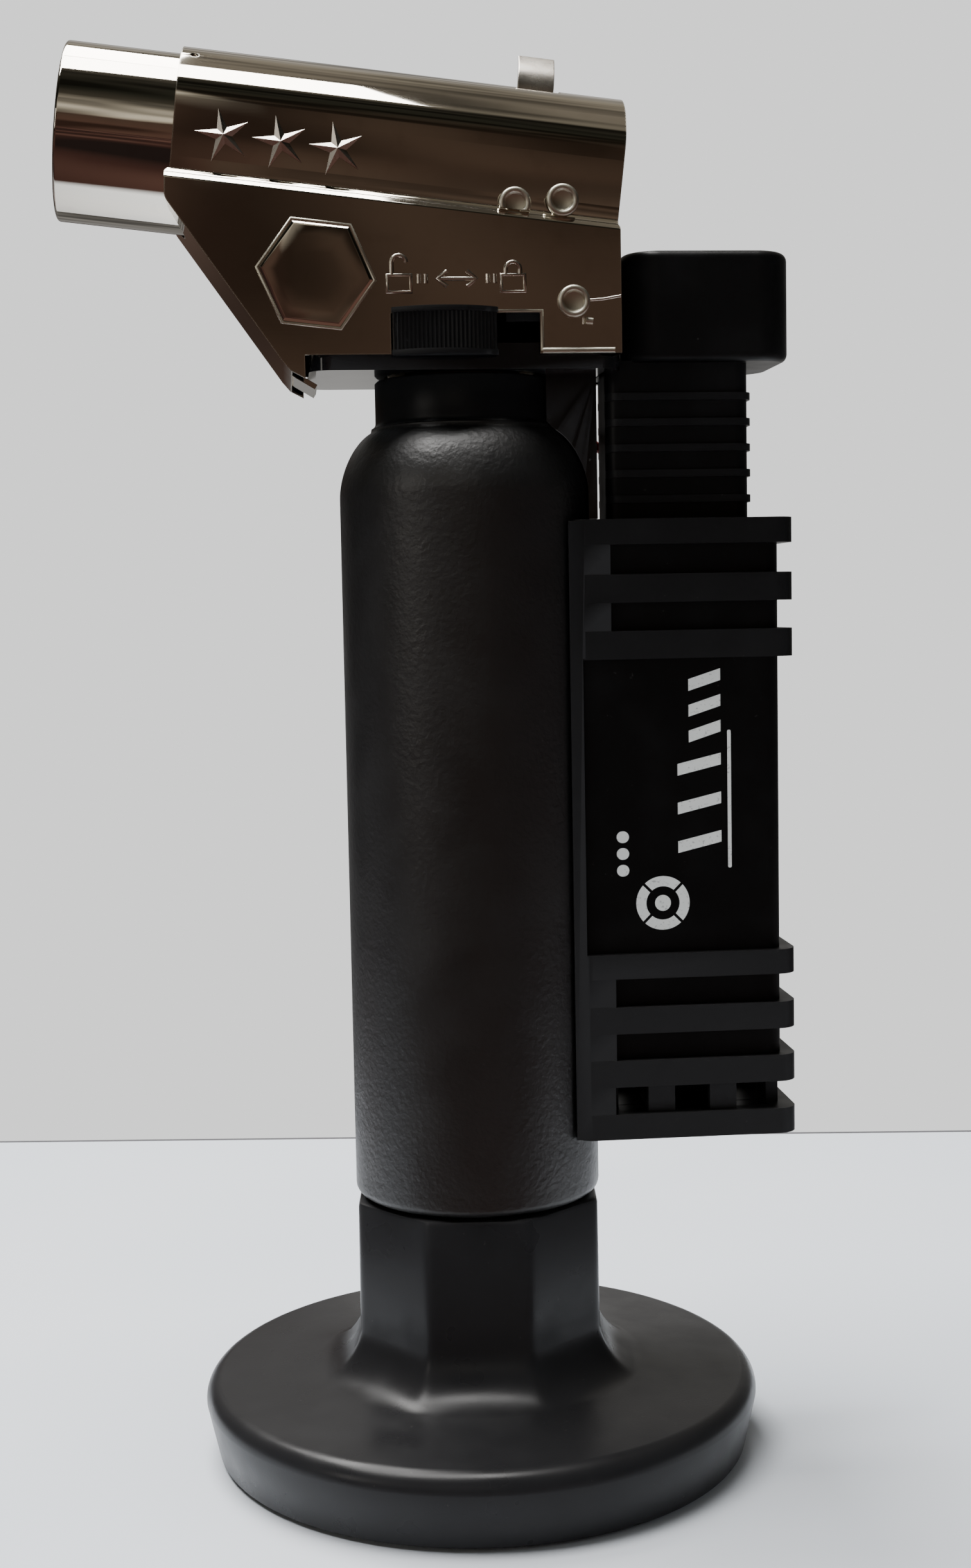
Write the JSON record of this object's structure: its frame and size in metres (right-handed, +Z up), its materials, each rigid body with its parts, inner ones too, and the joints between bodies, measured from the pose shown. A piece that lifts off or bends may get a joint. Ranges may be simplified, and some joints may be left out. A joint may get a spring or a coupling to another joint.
{
  "type": "butane torch",
  "caption": "Handheld butane bench torch: upright gas tank on a lift-off round stand, side grip with thumb igniter, angled burner tube under a stamped head.",
  "frame": {"origin": "centre of the stand's foot, on the tank axis", "axes": "+Z up along the tank axis, -X the way the flame leaves, +X towards the thumb button and grip, -Y the front with the lock slider"},
  "size_m": [0.0987, 0.0784, 0.1949],
  "materials": {
    "stand_plastic": "moulded, fine matte texture",
    "black_plastic": "moulded, satin",
    "tank_paint": "black textured powder coat on aluminium",
    "chrome": "bright nickel-chrome plate with fine scratches",
    "steel": "plain",
    "brass": "turned",
    "rubber": "matte",
    "ceramic": "glazed ceramic",
    "white_plastic": "plain",
    "wire_cover": "insulated wire"
  },
  "bodies": {
    "stand": {"stand": "stand_plastic", "ballast_plate": "steel", "foot_pad": "rubber"},
    "torch": {"tank": "tank_paint", "tank_foot": "black_plastic", "refill_valve": "brass", "valve_body": "brass", "neck_seal": "rubber", "head_plate": "black_plastic", "head_shell": "chrome", "chassis": "steel", "head_rivet_front_1": "chrome", "head_rivet_front_2": "chrome", "head_rivet_rear_1": "chrome", "head_rivet_rear_2": "chrome", "lever_pin": "chrome", "burner_tube": "chrome", "burner_base": "brass", "flame_nozzle": "steel", "flame_holder": "brass", "mixing_tube": "brass", "gas_jet": "brass", "gas_tube": "brass", "electrode_insulator": "ceramic", "electrode": "steel", "ignition_wire": "wire_cover", "igniter_body": "white_plastic", "return_spring": "steel", "valve_spring": "steel", "grip_front": "black_plastic", "grip_rear": "black_plastic", "grip_screw_1": "steel", "grip_screw_2": "steel", "grip_screw_3": "steel", "grip_screw_4": "steel"},
    "button": {"thumb_button": "black_plastic", "igniter_plunger": "white_plastic"},
    "lever": {"gas_lever": "steel"},
    "valve": {"valve_stem": "steel"},
    "lock": {"lock_slider": "black_plastic"},
    "shutter": {"air_shutter": "chrome"},
    "refill": {"refill_stem": "steel"}
  },
  "joints": [
    {"name": "torch_lift", "type": "slide", "parent": "stand", "child": "torch", "axis": [0, 0, 1], "range_m": [0, 0.022]},
    {"name": "button_press", "type": "slide", "parent": "torch", "child": "button", "axis": [0, 0, -1], "range_m": [0, 0.005], "stiffness_N_per_m": 900, "springref_m": -0.003, "deforming": ["return_spring"]},
    {"name": "gas_lever_swing", "type": "hinge", "parent": "torch", "child": "lever", "pos_m": [0.0138, 0, 0.1587], "axis": [0, 1, 0], "range_deg": [0, 3.4]},
    {"name": "valve_lift", "type": "slide", "parent": "torch", "child": "valve", "axis": [0, 0, 1], "range_m": [0, 0.0009], "deforming": ["valve_spring"]},
    {"name": "lock_slide", "type": "slide", "parent": "torch", "child": "lock", "axis": [1, 0, 0], "range_m": [0, 0.0053]},
    {"name": "air_shutter_turn", "type": "hinge", "parent": "torch", "child": "shutter", "pos_m": [0, 0, 0.1773], "axis": [-0.9936, 0, 0.1132], "range_deg": [-20, 20]},
    {"name": "refill_press", "type": "slide", "parent": "torch", "child": "refill", "axis": [0, 0, 1], "range_m": [0, 0.0015], "stiffness_N_per_m": 1500, "springref_m": -0.002}
  ],
  "couplings": [
    {"joint": "gas_lever_swing", "follows": "button_press", "rad_per_m": 11.5},
    {"joint": "valve_lift", "follows": "button_press", "ratio": 0.17}
  ]
}
